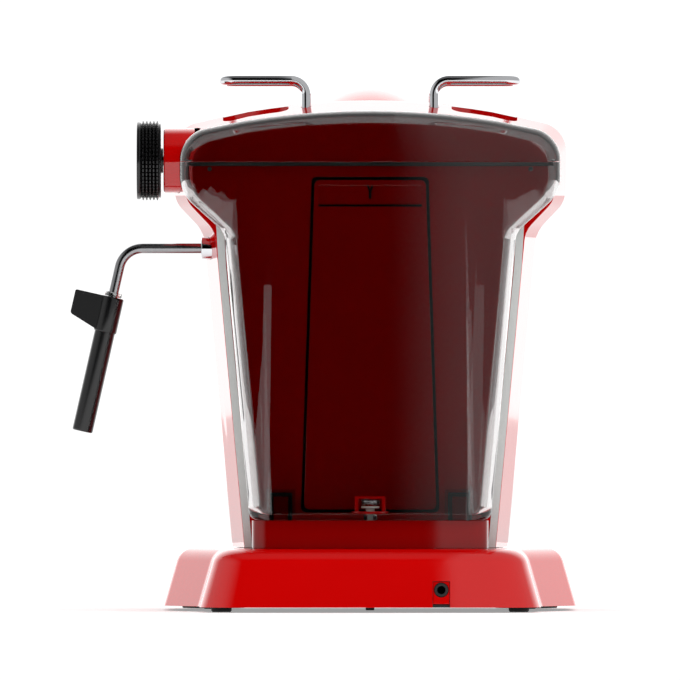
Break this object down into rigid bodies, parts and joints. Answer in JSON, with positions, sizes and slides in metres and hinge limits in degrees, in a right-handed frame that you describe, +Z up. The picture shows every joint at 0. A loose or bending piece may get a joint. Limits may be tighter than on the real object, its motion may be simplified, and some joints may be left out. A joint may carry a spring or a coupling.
{
  "type": "espresso machine",
  "caption": "Pump espresso machine with a rear lift-off water tank, round front gauge, bayonet filter holder, steam knob and wand, and a drip tray.",
  "frame": {"origin": "centre of the centre foot's underside, on the surface that the machine stands on", "axes": "+Z up, -Y to the front where the filter holder's handle points, +X to the side of the steam knob and wand"},
  "size_m": [0.3236, 0.3513, 0.3421],
  "materials": {
    "gloss_red": "high gloss moulded red",
    "chrome": "bright chrome plate",
    "steel": "brushed stainless steel",
    "aluminium": "die cast, fine texture",
    "brass": "turned, unpolished",
    "black_plastic": "satin black moulded",
    "rubber": "matt moulded rubber",
    "clear_plastic": "clear moulded plastic",
    "dial_white": "printed enamel dial",
    "silicone": "translucent silicone",
    "circuit_board": "lacquered board"
  },
  "bodies": {
    "machine": {"base_skirt": "gloss_red", "gland_insert": "gloss_red", "main_housing": "gloss_red", "rear_cover": "gloss_red", "service_panel": "gloss_red", "tank_pedestal": "gloss_red", "gauge_pod": "gloss_red", "steam_collar": "gloss_red", "cup_rail_left": "chrome", "cup_rail_right": "chrome", "gauge_bezel": "chrome", "wand_joint": "chrome", "cup_tray_left": "steel", "cup_tray_right": "steel", "splash_panel": "steel", "shower_screen": "steel", "group_head": "aluminium", "boiler_lower": "aluminium", "boiler_upper": "aluminium", "steam_valve_body": "brass", "steam_pipe": "brass", "steam_feed_pipe": "brass", "base_plate": "black_plastic", "pump_body": "black_plastic", "foot_front_left": "rubber", "foot_front_right": "rubber", "foot_rear_left": "rubber", "foot_rear_right": "rubber", "centre_foot": "rubber", "cord_gland": "rubber", "group_gasket": "rubber", "pump_mount": "rubber", "valve_seat": "rubber", "gauge_lens": "clear_plastic", "gauge_dial": "dial_white", "suction_hose": "silicone", "pressure_hose": "silicone", "control_board": "circuit_board"},
    "tray": {"drip_tray": "black_plastic"},
    "grid": {"drip_grid": "steel"},
    "float": {"drip_float": "gloss_red"},
    "portafilter": {"filter_holder": "chrome", "portafilter_handle": "black_plastic", "filter_basket": "steel", "spout": "chrome"},
    "knob": {"steam_knob": "black_plastic", "valve_spindle": "steel"},
    "wand": {"wand_tube": "steel", "wand_ring": "clear_plastic"},
    "sleeve": {"wand_sleeve": "black_plastic"},
    "tank": {"water_tank": "clear_plastic", "valve_cage": "gloss_red", "valve_spring": "steel"},
    "lid": {"tank_lid": "clear_plastic"},
    "plunger": {"tank_valve": "silicone"},
    "needle": {"gauge_needle": "black_plastic"},
    "power_button": {"power_button": "black_plastic"},
    "brew_button": {"brew_button": "steel"},
    "steam_button": {"steam_button": "steel"}
  },
  "joints": [
    {"name": "tray_slide", "type": "slide", "parent": "machine", "child": "tray", "axis": [0, -1, 0], "range_m": [0, 0.11]},
    {"name": "grid_lift", "type": "slide", "parent": "tray", "child": "grid", "axis": [0, 0, 1], "range_m": [0, 0.04]},
    {"name": "float_rise", "type": "slide", "parent": "tray", "child": "float", "axis": [0, 0, 1], "range_m": [0, 0.008]},
    {"name": "portafilter_turn", "type": "hinge", "parent": "machine", "child": "portafilter", "pos_m": [0, -0.056, 0.206], "axis": [0, 0, 1], "range_deg": [-50, 0]},
    {"name": "steam_knob_turn", "type": "hinge", "parent": "machine", "child": "knob", "pos_m": [0.1318, 0.042, 0.2875], "axis": [1, 0, 0], "range_deg": [0, 270]},
    {"name": "wand_swivel", "type": "hinge", "parent": "machine", "child": "wand", "pos_m": [0.1078, 0.042, 0.2315], "axis": [1, 0, 0], "range_deg": [-65, 40]},
    {"name": "sleeve_pull", "type": "slide", "parent": "wand", "child": "sleeve", "axis": [0.2215, 0, -0.9751], "range_m": [0, 0.08]},
    {"name": "tank_lift", "type": "slide", "parent": "machine", "child": "tank", "axis": [0, 0, 1], "range_m": [0, 0.1]},
    {"name": "lid_lift", "type": "slide", "parent": "tank", "child": "lid", "axis": [0, 0, 1], "range_m": [0, 0.05]},
    {"name": "valve_travel", "type": "slide", "parent": "tank", "child": "plunger", "axis": [0, 0, 1], "range_m": [0, 0.0012], "stiffness_N_per_m": 200, "springref_m": -0.004, "deforming": ["valve_spring"]},
    {"name": "needle_sweep", "type": "hinge", "parent": "machine", "child": "needle", "pos_m": [0, -0.14, 0.29], "axis": [0, 1, 0], "range_deg": [0, 180], "stiffness_Nm_per_rad": 0.001, "springref_deg": -20.05},
    {"name": "power_press", "type": "slide", "parent": "machine", "child": "power_button", "axis": [0, 1, 0], "range_m": [0, 0.002], "stiffness_N_per_m": 800, "springref_m": -0.001},
    {"name": "brew_press", "type": "slide", "parent": "machine", "child": "brew_button", "axis": [0, 1, 0], "range_m": [0, 0.002], "stiffness_N_per_m": 800, "springref_m": -0.001},
    {"name": "steam_press", "type": "slide", "parent": "machine", "child": "steam_button", "axis": [0, 1, 0], "range_m": [0, 0.002], "stiffness_N_per_m": 800, "springref_m": -0.001}
  ]
}
